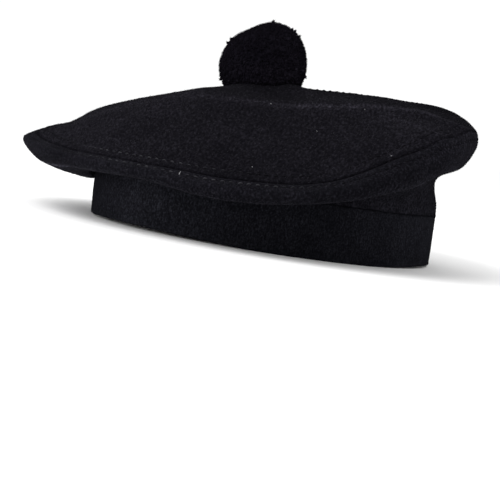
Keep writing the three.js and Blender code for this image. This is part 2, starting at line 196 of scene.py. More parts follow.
class Section:
    """The crown's outer face in one direction, from its middle down to the headband, by length along it."""

    def __init__(self, deg):
        row = blend_rows(SECTIONS, deg).reshape(-1, 2)
        across = blend_rows(SECTIONS, deg + 180)
        edge = band_reach(deg)
        hang = min(max((BAND_HEIGHT + HANG_FROM - row[-1, 1]) / HANG_SPAN, 0), 1)
        self.points = np.array(
            [[-across[0], across[1]], [0, CROWN_TOP], *row]
            + [[edge + JOIN_REST + JOIN_SWING * hang, BAND_HEIGHT + JOIN_RISE + JOIN_DROP * (1 - hang)]]
            + [[edge - JOIN_INSET, BAND_HEIGHT + GAP + JOIN_LIFT]]
        )
        spans = np.linalg.norm(np.diff(self.points, axis=0), axis=1) ** SMOOTHING
        self.knots = np.concatenate([[0], np.cumsum(spans)])
        chords = np.diff(self.points, axis=0) / spans[:, None]
        inner = chords[:-1] * spans[1:, None] + chords[1:] * spans[:-1, None]
        inner /= (spans[:-1] + spans[1:])[:, None]
        self.slopes = np.vstack([2 * chords[:1] - inner[:1], inner, 2 * chords[-1:] - inner[-1:]])
        self.steps = np.linspace(self.knots[TOP], self.knots[-1], FINE_STEPS)
        places = self.at(self.steps)
        lengths = np.linalg.norm(np.diff(places, axis=0), axis=1)
        self.lengths = np.concatenate([[0], np.cumsum(lengths)])
        self.seam, self.rim, self.low = (
            float(np.interp(self.knots[place], self.steps, self.lengths)) for place in (SEAM, RIM, LOW)
        )
        self.end = float(self.lengths[-1])

    def at(self, t):
        """Places on the section, reach and height, by the curve's own measure."""
        t = np.asarray(t, float)
        i = np.clip(np.searchsorted(self.knots, t, side="right") - 1, 0, len(self.knots) - 2)
        span = (self.knots[i + 1] - self.knots[i])[..., None]
        u = (t - self.knots[i])[..., None] / span
        return (
            self.points[i] * (1 + 2 * u) * (1 - u) ** 2
            + self.slopes[i] * span * u * (1 - u) ** 2
            + self.points[i + 1] * u * u * (3 - 2 * u)
            + self.slopes[i + 1] * span * u * u * (u - 1)
        )

    def along(self, length):
        """Places on the section by length from the crown's middle."""
        return self.at(np.interp(length, self.lengths, self.steps))


def fold_height(x, y, folds=FOLDS):
    """Height that the folds add at places on the crown."""
    height = np.zeros_like(x)
    for x1, y1, x2, y2, rise, width in folds:
        dx, dy = x2 - x1, y2 - y1
        share = np.clip(((x - x1) * dx + (y - y1) * dy) / (dx * dx + dy * dy), 0, 1)
        far = np.hypot(x - x1 - share * dx, y - y1 - share * dy)
        height += rise * np.exp(-((far / width) ** 2))
    return height


def beyond_line(x, y, line, turn, soft):
    """From 0 to 1, how far places lie beyond a line across the crown, seen along a direction in degrees."""
    away = np.array([-math.sin(math.radians(turn)), math.cos(math.radians(turn))])
    across = np.array([away[1], -away[0]])
    spots = np.array(line, float)
    depth = np.interp(x * across[0] + y * across[1], spots @ across, spots @ away)
    return np.clip((x * away[0] + y * away[1] - depth) / soft, 0, 1)


def crown_places(degs, lengths, sections):
    """Places on the crown's outer face, one row for each direction."""
    rows = []
    for deg, distances, section in zip(degs, lengths, sections):
        reach, height = section.along(distances).T
        x = CROWN_X + reach * math.sin(math.radians(deg))
        y = CROWN_Y - reach * math.cos(math.radians(deg))
        share = np.clip((section.rim - distances) / (section.rim - section.seam), 0, 1)
        rows.append(np.stack([x, y, height + fold_height(x, y) * share], axis=1))
    return np.array(rows)


def face_normals(places):
    """Outward normals of a face given as rows round the hat, each row running down from the middle."""
    along = np.gradient(places, axis=1)
    around = np.roll(places, -1, axis=0) - np.roll(places, 1, axis=0)
    normals = np.cross(along, around)
    size = np.linalg.norm(normals, axis=2, keepdims=True)
    normals = np.where(size > 1e-9, normals / np.maximum(size, 1e-9), [0, 0, 1])
    normals[:, 0] = [0, 0, 1]
    return normals


def face_normals_of(places):
    """Normals on the outer side of rows that run up the headband."""
    along = np.gradient(places, axis=1)
    around = np.roll(places, -1, axis=0) - np.roll(places, 1, axis=0)
    normals = np.cross(around, along)
    return normals / np.linalg.norm(normals, axis=2, keepdims=True)


def waves(places, scale, seed):
    """Smooth noise between -1 and 1 over places, with features of about scale millimetres."""
    flat = places.reshape(-1, 3) / scale + seed
    return np.array([noise.noise(Vector(p)) for p in flat]).reshape(places.shape[:-1])


def unevenness(places, rows):
    """Soft lumps in the cloth, added up from rows of size, seed and height."""
    return sum(height * waves(places, size, seed) for size, seed, height in rows)


def dip(distance, width):
    """A rounded dip of depth 1 with that half width."""
    return np.exp(-((distance / width) ** 2))


def groove(distance, deep, wide, lip, away, lip_wide):
    """A sewn join's groove with a soft lip on either side."""
    return -deep * dip(distance, wide) + lip * dip(np.abs(distance) - away, lip_wide)


def turned_from(degs, middle):
    """Directions counted from a middle one, from -180 to 180."""
    return (degs - middle + 180) % 360 - 180


def make_piece(name, verts, faces, material, replaced=()):
    """A smooth mesh of the part, from places in millimetres in the hat's own frame."""
    mesh = bpy.data.meshes.new(name)
    mesh.from_pydata(((np.asarray(verts) + SHIFT) * MM).tolist(), [], faces)
    mesh.validate()
    mesh.polygons.foreach_set("use_smooth", [True] * len(mesh.polygons))
    if replaced and name.endswith("_cloth"):
        mesh.set_sharp_from_angle(angle=CUT_EDGE)
    mesh.materials.append(material)
    piece = bpy.data.objects.new(name, mesh)
    bpy.context.scene.collection.objects.link(piece)
    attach(piece, "root")
    if replaced:
        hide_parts(*replaced)
    return piece


def grid_faces(count, length, start, flip=False):
    """Quads between rows round the hat, where vertex i * length + j is place j of row i."""
    faces = []
    for i in range(count):
        n = (i + 1) % count
        for j in range(length - 1):
            here, there = start + i * length + j, start + n * length + j
            quad = [here, here + 1, there + 1, there]
            faces.append(quad[::-1] if flip else quad)
    return faces


def shell_mesh(outer, inner, poled):
    """Vertices and faces of a cloth with an outer and an inner face, rows of both going round the hat."""
    count, length, inside = outer.shape[0], outer.shape[1], inner.shape[1]
    verts = np.concatenate([outer.reshape(-1, 3), inner.reshape(-1, 3)])
    base = count * length
    faces = grid_faces(count, length, 0) + grid_faces(count, inside, base, flip=True)
    for i in range(count):
        n = (i + 1) % count
        here, there = base + i * inside, base + n * inside
        edge, next_edge = i * length + length - 1, n * length + length - 1
        faces.append([edge, here + inside - 1, there + inside - 1, next_edge])
        if not poled:
            faces.append([i * length, n * length, there, here])
    if poled:
        poles = [[i * length for i in range(count)], [base + i * inside for i in range(count)]]
        verts, faces = weld_poles(verts, faces, poles)
    return verts, faces


def weld_poles(verts, faces, poles):
    """Joins each list of vertices that share one place into its first vertex."""
    same = np.arange(len(verts))
    for pole in poles:
        same[pole] = pole[0]
    kept = np.unique(same)
    place = np.zeros(len(verts), int)
    place[kept] = np.arange(len(kept))
    joined = []
    for face in faces:
        corners = []
        for v in face:
            c = int(place[same[v]])
            if c not in corners:
                corners.append(c)
        if len(corners) > 2:
            joined.append(corners)
    return verts[kept], joined


# Distances from the seam at which the cloth on either side of it gets a row of vertices
NEAR_SEAM = [0.15, 0.5, 0.9, 1.4, 2.0, 2.7, 3.4, 4.0, 4.6, 5.2, 5.7, 6.2, 6.8, 7.6, 8.8, 10.4, 12.6]
TOP_ROWS, SIDE_ROWS = 62, 58  # rows further away
INNER_STEP = 4  # the inner face takes every fourth row
MIDDLE_ROWS = 40  # rows of the crown from its middle that reach past the pompom
STITCH_PITCH, STITCH_LENGTH, STITCH_THICKNESS = 4.2, 2.1, 0.27

# The rows of topstitching: distance from the seam, and the directions between which the thread is paler
STITCH_ROWS = {"upper": (-6.0, 3, 52), "lower": (4.1, 9, 74)}

sections = [Section(deg) for deg in directions]
# The seam's groove is felted over where the crown folds back on the right
from_felted = np.abs(np.array(directions) - FELTED_MIDDLE) - FELTED_HALF
seam_shown = SEAM_LEAST + (1 - SEAM_LEAST) * np.clip(from_felted / FELTED_FADE, 0, 1)
nearest = GAP_LEAST + (NEAR_SEAM[0] - GAP_LEAST) * seam_shown
near_rows = np.array([[first, *NEAR_SEAM[1:]] for first in nearest])
top_lengths = np.array(
    [
        np.concatenate([np.linspace(0, s.seam - near[-1], TOP_ROWS, endpoint=False), s.seam - near[::-1]])
        for s, near in zip(sections, near_rows)
    ]
)
side_lengths = np.array(
    [
        np.concatenate([s.seam + near, np.linspace(s.seam + near[-1], s.end, SIDE_ROWS + 1)[1:]])
        for s, near in zip(sections, near_rows)
    ]
)
lengths = np.concatenate([top_lengths, side_lengths], axis=1)
SEAM_ROW = top_lengths.shape[1]
smooth_face = crown_places(directions, lengths, sections)
normals = face_normals(smooth_face)
seam_lengths = np.array([s.seam for s in sections])[:, None]
end_lengths = np.array([s.end for s in sections])[:, None]
from_seam = lengths - seam_lengths


def round_noise(degs, distance, radius, scale, seed):
    """Noise that runs round the hat without a break, stretched along the sections."""
    angle = np.radians(np.asarray(degs))[:, None] + 0 * distance
    flat = np.stack([np.cos(angle) * radius, np.sin(angle) * radius, distance * 0.25], axis=-1)
    return waves(flat, scale, seed)


def crown_relief():
    """How far the cloth stands out of the smooth face: seam, stitch rows, puckers and soft unevenness."""
    s = from_seam
    relief = seam_shown[:, None] * groove(s, *CROWN_SEAM)
    for distance, _, _ in STITCH_ROWS.values():
        relief -= STITCH_SINK * dip(s - distance, STITCH_SPAN)
    relief += PUCKER * round_noise(directions, s, *PUCKER_NOISE) * dip(np.abs(s) - PUCKER_FROM, PUCKER_SPAN)
    relief += unevenness(smooth_face, CROWN_LUMPS)
    below = np.clip((s - SLACK_FROM) / SLACK_RISE, 0, 1) * np.clip((end_lengths - lengths) / SLACK_FALL, 0, 1)
    relief += SLACK * below * round_noise(directions, s, *SLACK_NOISE)
    on_back = (smooth_face[..., 1] > 0) & (s > 0)
    relief += on_back * groove(smooth_face[..., 0] - CROWN_X, *SIDE_JOIN)
    relief += END_PUSH * dip(end_lengths - lengths, END_SPAN)
    relief[:, 0] = relief[:, 0].mean()
    return relief


face = smooth_face + normals * crown_relief()[..., None]
face[:, -1, 2] -= END_DROP
inside = smooth_face - normals * FELT


def every(rows, step):
    """Every step-th row of places along each section, with the first and the last always kept."""
    picked = list(range(0, rows.shape[1] - 1, step)) + [rows.shape[1] - 1]
    return rows[:, picked]


def cloth_height(x, y):
    """Height of the crown's outer face at a place in plan near its middle."""
    dx, dy = x - CROWN_X, y - CROWN_Y
    deg = math.degrees(math.atan2(dx, -dy)) % 360
    row = face[min(range(len(directions)), key=lambda i: abs(directions[i] - deg)), :MIDDLE_ROWS]
    reach = np.hypot(row[:, 0] - CROWN_X, row[:, 1] - CROWN_Y)
    return float(np.interp(math.hypot(dx, dy), reach, row[:, 2]))


def band_frame(deg):
    """A point of the headband's oval and the direction outward there."""
    sx, sy = math.sin(math.radians(deg)), -math.cos(math.radians(deg))
    outward = np.array([sx / BAND_SIDE, sy / BAND_BACK])
    return np.array([BAND_SIDE * sx, BAND_BACK * sy]), outward / np.linalg.norm(outward)


def arc(x, z, radius, start, end, count):
    """Points of an arc in the band's section, with the direction out of it at each."""
    angles = np.radians(np.linspace(start, end, count))
    out = np.stack([np.cos(angles), np.sin(angles)], axis=1)
    return np.concatenate([np.array([x, z]) + radius * out, out], axis=1)


def line(x1, z1, x2, z2, count):
    """Points of a straight stretch of the band's section, ends left out, with the direction out of it."""
    shares = np.linspace(0, 1, count + 2)[1:-1, None]
    along = np.array([x2 - x1, z2 - z1])
    out = np.array([along[1], -along[0]]) / np.linalg.norm(along)
    return np.concatenate([np.array([x1, z1]) + shares * along, np.tile(out, (count, 1))], axis=1)


def band_section():
    """The headband's wall in section, from the foot round: across, height and the direction out of it."""
    half, foot, top = BAND_WALL / 2, 0.9, 0.4
    return np.concatenate(
        [
            arc(half - foot, foot, foot, -90, 0, 5),
            line(half, foot, half, BAND_HEIGHT - top, 26),
            arc(half - top, BAND_HEIGHT - top, top, 0, 90, 6),
            arc(top - half, BAND_HEIGHT - top, top, 90, 180, 6),
            line(-half, BAND_HEIGHT - top, -half, foot, 12),
            arc(foot - half, foot, foot, 180, 270, 5),
        ]
    )


def band_places():
    """The headband's surface as rows round it, with its directions out."""
    profile = band_section()
    places, outs = [], []
    for deg in directions:
        (px, py), (ox, oy) = band_frame(deg)
        lift = max(float(blend_rows(FOOT_LIFTS, deg)[0]), 0)
        offset = profile[:, 0] - BAND_WALL / 2
        height = profile[:, 1]
        share = height / BAND_HEIGHT
        x, y = px + ox * offset, py + oy * offset + BAND_LEAN * share
        places.append(np.stack([x, y, height + lift * (1 - share) ** 2], axis=1))
        outs.append(np.stack([ox * profile[:, 2], oy * profile[:, 2], profile[:, 3]], axis=1))
    places, outs = np.array(places), np.array(outs)
    wall = np.clip((places[..., 2] - 1) / 3, 0, 1)
    relief = wall * unevenness(places, BAND_LUMPS)
    relief += wall * (places[..., 1] > 0) * (profile[:, 2] > 0.5) * groove(places[..., 0], *BAND_JOIN)
    relief += 0.25 * (profile[:, 2] > 0.5) * dip(places[..., 2] - 0.5 * BAND_HEIGHT, 0.3 * BAND_HEIGHT)
    relief *= 1 - 0.8 * np.clip(profile[:, 3], 0, 1)
    return places + outs * relief[..., None]


def ring_faces(count, length):
    """Quads of a closed section swept round the hat."""
    faces = []
    for i in range(count):
        n = (i + 1) % count
        for j in range(length):
            k = (j + 1) % length
            faces.append([i * length + j, n * length + j, n * length + k, i * length + k])
    return faces


# Specks of lint on the cloth
LINT = [
    # deg, distance from the seam, length, turn from upright in degrees, thickness
    [33.0, 4.3, 4.0, 10, 0.15],
    [72.0, -41.0, 0.6, 30, 0.14],
    [85.5, -2.0, 0.7, 60, 0.13],
    [55.5, -71.0, 0.7, 20, 0.13],
    [49.5, -11.0, 0.6, 45, 0.13],
    [96.0, -44.0, 0.5, 70, 0.12],
]


class Clump:
    """Many small closed bodies gathered into one mesh."""

    def __init__(self):
        self.verts, self.faces = [], []

    def tube(self, rings, tip):
        """A tube from rings of places to a tip, closed at both ends."""
        base, sides = len(self.verts), len(rings[0])
        for ring in rings:
            self.verts.extend(ring)
        for r in range(len(rings) - 1):
            for i in range(sides):
                n = (i + 1) % sides
                a, b = base + r * sides, base + (r + 1) * sides
                self.faces.append([a + i, a + n, b + n, b + i])
        self.faces.append([base + i for i in range(sides)][::-1])
        last = base + (len(rings) - 1) * sides
        self.verts.append(tip)
        for i in range(sides):
            self.faces.append([last + i, last + (i + 1) % sides, len(self.verts) - 1])


def frame_of(direction):
    """Two directions across a direction."""
    direction = Vector(direction).normalized()
    side = direction.cross(Vector((0, 0, 1)) if abs(direction.z) < 0.9 else Vector((1, 0, 0))).normalized()
    return side, direction.cross(side)


def ring(centre, side, other, radius, sides, turn=0.0):
    """Places of a ring round a centre."""
    angles = [turn + 2 * math.pi * i / sides for i in range(sides)]
    return [centre + radius * (math.cos(a) * side + math.sin(a) * other) for a in angles]


def stitch_row(distance, pale_from, pale_to, draws):
    """Two-ply stitches at an even pitch along a line at a distance from the seam, and how pale each is."""
    clump, pale = Clump(), []
    sides, rings = 8, 9
    lines = []
    for step in (-0.6, 0, 0.6):
        spots = np.array([[s.seam + distance + step] for s in sections])
        lines.append(crown_places(directions, spots, sections)[:, 0])
    middle = lines[1]
    down = lines[2] - lines[0]
    around = np.roll(middle, -1, axis=0) - np.roll(middle, 1, axis=0)
    out = np.cross(down, around)
    out /= np.linalg.norm(out, axis=1, keepdims=True)
    closed = np.vstack([middle, middle[:1]])
    walk = np.concatenate([[0], np.cumsum(np.linalg.norm(np.diff(closed, axis=0), axis=1))])
    count = round(walk[-1] / STITCH_PITCH)

    def pick(rows, at):
        """The value of rows at a distance walked along the line."""
        return np.array([np.interp(at % walk[-1], walk, np.append(rows[:, k], rows[0, k])) for k in range(3)])

    for i in range(count):
        start = (i + draws.uniform(-0.05, 0.05)) * walk[-1] / count
        length = STITCH_LENGTH * draws.uniform(0.88, 1.08)
        slant = draws.uniform(-0.25, 0.25)
        deg = (float(np.interp(start, walk, np.append(directions, 360))) - pale_from + 180) % 360 - 180
        shown = min(max((deg + 8) / 10, 0), 1) * min(max((pale_to - pale_from - deg) / 26, 0), 1)
        pale.extend([max(shown * draws.uniform(0.35, 1.0), draws.uniform(0, 0.06))] * (sides * rings + 1))
        path = []
        for r in range(rings):
            share = r / (rings - 1)
            at = start + (share - 0.5) * length
            rise = -0.42 + 0.5 * math.sin(math.pi * share) ** 0.5
            aside = pick(down, at) / 1.2 * slant * (share - 0.5) * 2
            path.append(Vector(pick(middle, at) + pick(out, at) * rise + aside))
        hoops = []
        for r in range(rings):
            ahead = (path[min(r + 1, rings - 1)] - path[max(r - 1, 0)]).normalized()
            side, other = frame_of(ahead)
            share = r / (rings - 1)
            hoop = []
            for k in range(sides):
                angle = 2 * math.pi * k / sides
                ply = 1 + 0.16 * math.cos(2 * (angle - 3.6 * share))
                end = 0.72 + 0.28 * math.sin(math.pi * share) ** 0.4
                across = math.cos(angle) * side + math.sin(angle) * other
                hoop.append(path[r] + STITCH_THICKNESS * ply * end * across)
            hoops.append(hoop)
        clump.tube(hoops, path[-1] + (path[-1] - path[-2]) * 0.15)
    return clump, pale


def lint_clump():
    """Short bent fibres of lint lying on the crown."""
    clump = Clump()
    for deg, distance, long, turn, thick in LINT:
        spots = []
        for shift, step in ((0, 0), (0.5, 0), (0, 1.0)):
            section = Section(deg + shift)
            lengths_there = [np.array([section.seam + distance + step])]
            spots.append(Vector(crown_places([deg + shift], lengths_there, [section])[0, 0]))
        around, down = (spots[1] - spots[0]).normalized(), (spots[2] - spots[0]).normalized()
        out = down.cross(around).normalized()
        along = down * math.cos(math.radians(turn)) + around * math.sin(math.radians(turn))
        hoops = []
        for share in (-0.5, -0.3, -0.1, 0.1, 0.3, 0.5):
            centre = spots[0] + along * share * long + out * (0.3 + 0.9 * (0.25 - share * share))
            hoops.append(ring(centre, along.cross(out), out, thick, 5))
        clump.tube(hoops, spots[0] + along * 0.55 * long + out * 0.3)
    return clump


def pom_reach(direction):
    """Distance from the pompom's middle to its surface in a direction."""
    reach = POM_RADIUS
    for x, y, z, height, spread in POM_SWELLS:
        reach += height * math.exp(-((direction.angle(Vector((x, y, z))) / spread) ** 2))
    return reach


def ball_direction(i, count):
    """Evenly spread directions over a ball, by the golden angle."""
    z = 1 - (2 * i + 1) / count
    turn = i * math.pi * (3 - math.sqrt(5))
    flat = math.sqrt(1 - z * z)
    return Vector((flat * math.cos(turn), flat * math.sin(turn), z))


POM_MIDDLE = Vector((POM_X, POM_Y, CROWN_TOP + POM_RISE))
YARNS, QUICK_YARNS, FIBRES_PER_YARN, FIBRE_SPLAY = 4600, 1500, 8, 0.5
YARN_HOOPS = [(0.78, 0.6), (0.92, 0.78), (0.98, 0.8), (1.0, 0.5)]  # share of the reach and radius there
LOOSE_REACH, LOOSE_EVERY, LOOSE_FIRST = 1.3, 97, 5  # now and then a yarn stands out that far
CORE_DEPTH, CORE_RINGS, CORE_SIDES = 0.9, 24, 40  # the core lies that deep under the yarns' ends
NEAR_CLOTH = 4  # places up to this high over the crown's middle are held off the cloth, higher ones are not


def above_cloth(place, clear):
    """The place, lifted onto the crown if it would lie under it."""
    if place.z < CROWN_TOP + NEAR_CLOTH:
        floor = cloth_height(place.x, place.y) + clear
        if place.z < floor:
            place = Vector((place.x, place.y, floor))
    return place


def pompom_clumps(draws):
    """The pompom's yarns with cut ends on their core, and the loose fibres of those ends."""
    yarns, fibres = Clump(), Clump()
    count, sides = YARNS, 4
    for i in range(count):
        direction = ball_direction(i, count)
        side, other = frame_of(direction)
        lean = Vector((draws.gauss(0, 0.06), draws.gauss(0, 0.06), draws.gauss(0, 0.06)))
        direction = (direction + lean).normalized()
        loose = LOOSE_REACH if i % LOOSE_EVERY == LOOSE_FIRST else 0
        reach = pom_reach(direction) - 0.4 + draws.gauss(0, 0.1) + loose
        sway = draws.uniform(0.2, 0.9) * (math.cos(i * 2.4) * side + math.sin(i * 2.4) * other)
        hoops = []
        for share, width in YARN_HOOPS:
            centre = POM_MIDDLE + direction * reach * share + sway * (share - 0.78) * 3
            hoop = ring(centre, side, other, width * draws.uniform(0.9, 1.1), sides, i * 0.7)
            hoops.append([above_cloth(p, 0.25) for p in hoop])
        tip = above_cloth(POM_MIDDLE + direction * (reach + 0.15) + sway * 0.66, 0.3)
        yarns.tube(hoops, tip)
        for _ in range(FIBRES_PER_YARN):
            root = tip + draws.uniform(-0.6, 0.6) * side + draws.uniform(-0.6, 0.6) * other
            splay = Vector((draws.gauss(0, 1), draws.gauss(0, 1), draws.gauss(0, 1)))
            aim = (direction + FIBRE_SPLAY * splay).normalized()
            long = draws.uniform(0.5, 1.1)
            a, b = frame_of(aim)
            end = above_cloth(root + aim * long, 0.3)
            base = [above_cloth(p, 0.2) for p in ring(root - aim * 0.4, a, b, 0.09, 3)]
            fibres.tube([base], end)
    add_core(yarns)
    return yarns, fibres


def add_core(yarns):
    """The pompom's round core, in one mesh with the yarns that stand out of it."""
    base = len(yarns.verts)
    for j in range(CORE_RINGS + 1):
        for i in range(CORE_SIDES):
            polar, turn = math.pi * j / CORE_RINGS, 2 * math.pi * i / CORE_SIDES
            flat = math.sin(polar)
            direction = Vector((flat * math.cos(turn), flat * math.sin(turn), math.cos(polar)))
            reach = pom_reach(direction) - CORE_DEPTH
            yarns.verts.append(above_cloth(POM_MIDDLE + direction * reach, 0.15))
    for j in range(CORE_RINGS):
        for i in range(CORE_SIDES):
            n = (i + 1) % CORE_SIDES
            upper, lower = base + j * CORE_SIDES, base + (j + 1) * CORE_SIDES
            yarns.faces.append([upper + i, lower + i, lower + n, upper + n])
    poles = [[first + i for i in range(CORE_SIDES)] for first in (base, base + CORE_RINGS * CORE_SIDES)]
    yarns.verts, yarns.faces = weld_poles(np.array(yarns.verts), yarns.faces, poles)


COMB_SPREAD, ROOT_DEPTH = 0.7, 0.08  # how unevenly fibres are combed, how deep they are rooted


def fuzz(rows, normal_rows, count, seed, comb, rise, reach, thick, weights):
    """Short fibres lying on a face given as rows of places, combed one way, more where it weighs more."""
    rng = np.random.default_rng(seed)
    wide, long = rows.shape[0], rows.shape[1] - 1
    cells = np.cross(np.roll(rows, -1, axis=0)[:, :-1] - rows[:, :-1], rows[:, 1:] - rows[:, :-1])
    shares = np.broadcast_to(weights, rows.shape[:2])[:, :-1]
    sums = np.cumsum((np.linalg.norm(cells, axis=2) * shares).ravel())
    picked = np.minimum(np.searchsorted(sums, rng.random(count) * sums[-1]), wide * long - 1)
    i, j = picked // long, picked % long
    n = (i + 1) % wide
    u, v = rng.random((2, count, 1))
    near_row = rows[i, j] * (1 - v) + rows[i, j + 1] * v
    far_row = rows[n, j] * (1 - v) + rows[n, j + 1] * v
    roots = near_row * (1 - u) + far_row * u
    out = normal_rows[i, j]
    aim = np.array(comb) + COMB_SPREAD * rng.normal(size=(count, 3))
    aim -= out * np.sum(aim * out, axis=1, keepdims=True)
    aim /= np.linalg.norm(aim, axis=1, keepdims=True)
    aim += out * rng.uniform(*rise, (count, 1))
    aim /= np.linalg.norm(aim, axis=1, keepdims=True)
    side = np.cross(aim, out)
    side /= np.linalg.norm(side, axis=1, keepdims=True)
    other = np.cross(aim, side)
    corners = [
        roots - out * ROOT_DEPTH + thick * (math.cos(a) * side + math.sin(a) * other)
        for a in (0, 2 * math.pi / 3, 4 * math.pi / 3)
    ]
    tips = roots + aim * rng.uniform(*reach, (count, 1))
    verts = np.stack([*corners, tips], axis=1).reshape(-1, 3)
    base = 4 * np.arange(count)[:, None]
    faces = np.concatenate([base + np.array(f) for f in ((2, 1, 0), (0, 1, 3), (1, 2, 3), (2, 0, 3))])
    return verts, faces.tolist()


WOOL_ROUGHNESS, NOISE_ROUGHNESS = 0.95, 0.6


def node(tree, kind, settings=None, inputs=None):
    """A shader node with its settings and the values or links of its sockets."""
    made = tree.nodes.new(kind)
    for name, value in (settings or {}).items():
        setattr(made, name, value)
    for name, value in (inputs or {}).items():
        if isinstance(value, bpy.types.NodeSocket):
            tree.links.new(value, made.inputs[name])
        else:
            made.inputs[name].default_value = value
    return made


def noise_at(tree, coords, size, detail, turn=(0, 0, 0), stretch=(1, 1, 1)):
    """Noise with features of about size metres, turned and stretched."""
    scale = tuple(size * s for s in stretch)
    spread = {"Vector": coords, "Rotation": turn, "Scale": scale}
    mapped = node(tree, "ShaderNodeMapping", {"vector_type": "TEXTURE"}, spread)
    values = {"Vector": mapped.outputs[0], "Scale": 1.0, "Detail": detail, "Roughness": NOISE_ROUGHNESS}
    return node(tree, "ShaderNodeTexNoise", inputs=values).outputs["Fac"]


def calc(tree, operation, a, b):
    """The outcome of one sum, product or power in a material."""
    return node(tree, "ShaderNodeMath", {"operation": operation}, {0: a, 1: b}).outputs[0]


def wool(name, dark, light, sheen, bump, contrast, sizes, turns=(0, 0), stretches=((1, 1, 1), (1, 1, 1))):
    """Felted wool: mottled colour, fine grain and streaks of nap, a soft sheen, and light and shade painted
    in from a mark on the vertices.
    """
    material = bpy.data.materials.new(name)
    material.use_nodes = True
    tree = material.node_tree
    shader = tree.nodes["Principled BSDF"]
    coords = node(tree, "ShaderNodeTexCoord").outputs["Object"]
    broad = noise_at(tree, coords, 0.022, 2)
    fine = noise_at(tree, coords, sizes[0], 2, (0, 0, turns[0]), stretches[0])
    streaks = noise_at(tree, coords, sizes[1], 2, (0, 0, turns[1]), stretches[1])
    grain = calc(tree, "ADD", calc(tree, "MULTIPLY", fine, 0.5), calc(tree, "MULTIPLY", streaks, 0.5))
    shade = calc(tree, "ADD", calc(tree, "MULTIPLY", broad, 0.15), calc(tree, "MULTIPLY", grain, 0.85))
    half = 0.12 / contrast
    limits = {"Value": shade, "From Min": 0.5 - half, "From Max": 0.5 + half}
    spread = node(tree, "ShaderNodeMapRange", inputs=limits)
    flecked = calc(tree, "POWER", spread.outputs[0], 2.0)
    # A mark on each vertex paints light and shade into the colour: lighter above 0, darker below
    painted_light_and_pale = node(tree, "ShaderNodeAttribute", {"attribute_name": "painted_light_and_pale"}).outputs["Fac"]
    lit = calc(tree, "MULTIPLY", calc(tree, "ADD", flecked, 0.2), calc(tree, "ADD", painted_light_and_pale, 1.0))
    mix = node(tree, "ShaderNodeMix", {"data_type": "RGBA"}, {0: lit, 6: dark, 7: light})
    mix.clamp_factor = False
    tree.links.new(mix.outputs[2], shader.inputs["Base Color"])
    lumps = node(tree, "ShaderNodeBump", inputs={"Height": grain, "Strength": bump, "Distance": 0.0005})
    tree.links.new(lumps.outputs[0], shader.inputs["Normal"])
    shader.inputs["Roughness"].default_value = WOOL_ROUGHNESS
    shader.inputs["Specular IOR Level"].default_value = 0.0
    shader.inputs["Sheen Weight"].default_value = sheen
    shader.inputs["Sheen Roughness"].default_value = 0.45
    shader.inputs["Sheen Tint"].default_value = (0.85, 0.84, 0.95, 1)
    return material


def plain_wool(name, colour, sheen):
    """Loose fibres and thread, too thin to show a pattern of their own."""
    material = bpy.data.materials.new(name)
    material.use_nodes = True
    shader = material.node_tree.nodes["Principled BSDF"]
    shader.inputs["Base Color"].default_value = colour
    shader.inputs["Roughness"].default_value = WOOL_ROUGHNESS
    shader.inputs["Specular IOR Level"].default_value = 0.0
    shader.inputs["Sheen Weight"].default_value = sheen
    return material


def thread_paint(name, dark, light):
    """Sewing thread, from dark to pale by how pale each stitch is marked."""
    material = plain_wool(name, dark, 0.01)
    tree = material.node_tree
    coords = node(tree, "ShaderNodeTexCoord").outputs["Object"]
    fleck = calc(tree, "ADD", noise_at(tree, coords, 0.0006, 1), 0.5)
    painted_light_and_pale = node(tree, "ShaderNodeAttribute", {"attribute_name": "painted_light_and_pale"}).outputs["Fac"]
    lit = calc(tree, "MULTIPLY", painted_light_and_pale, fleck)
    mix = node(tree, "ShaderNodeMix", {"data_type": "RGBA"}, {0: lit, 6: dark, 7: light})
    tree.links.new(mix.outputs[2], tree.nodes["Principled BSDF"].inputs["Base Color"])
    return material


def set_painted_light_and_pale(piece, values):
    """Marks each vertex of a piece with the light and shade painted into its colour, and each stitch with how
    pale its thread is.
    """
    marks = piece.data.attributes.new("painted_light_and_pale", "FLOAT", "POINT")
    marks.data.foreach_set("value", np.asarray(values, np.float32))


# Paints: dark, light, sheen, bump, contrast, then the sizes, turns and stretches of the grain and the streaks
FELT_DARK = (0.0010, 0.0010, 0.0014, 1)
crown_felt = wool(
    "crown_felt", FELT_DARK, (0.0078, 0.0073, 0.0097, 1), 0.008, 0.6, 1.0,
    (0.0012, 0.0011), (-0.75, -1.07), ((2.6, 1, 1.2), (3.8, 1, 1)),
)
side_felt = wool(
    "side_felt", FELT_DARK, (0.0088, 0.0085, 0.0112, 1), 0.009, 0.6, 1.0,
    (0.0010, 0.0010), (-0.75, -0.75), ((1.5, 1, 1), (1, 1, 2.0)),
)
band_felt = wool(
    "band_felt", (0.0008, 0.0008, 0.0012, 1), (0.0118, 0.0120, 0.0155, 1), 0.009, 0.5, 0.85,
    (0.0009, 0.0008), (0, 0), ((1, 1, 1), (1, 1, 2.2)),
)
pom_yarn = wool(
    "pompom_yarn", (0.0010, 0.0009, 0.0015, 1), (0.0058, 0.0050, 0.0074, 1), 0.007, 0.3, 0.7, (0.0014, 0.0008)
)
thread = thread_paint("thread", (0.0042, 0.0040, 0.0053, 1), (0.031, 0.031, 0.035, 1))
nap_fibre = plain_wool("nap_fibre", (0.0062, 0.0058, 0.0080, 1), 0.002)
pale_fibre = plain_wool("pale_fibre", (0.030, 0.029, 0.034, 1), 0.002)
dark_fibre = plain_wool("dark_fibre", (0.0010, 0.0010, 0.0016, 1), 0.0)
band_fibre = plain_wool("band_fibre", (0.0095, 0.0096, 0.0124, 1), 0.002)
pom_fibre = plain_wool("pom_fibre", (0.0050, 0.0043, 0.0063, 1), 0.002)
lint_fibre = plain_wool("lint_fibre", (0.22, 0.22, 0.23, 1), 0.05)

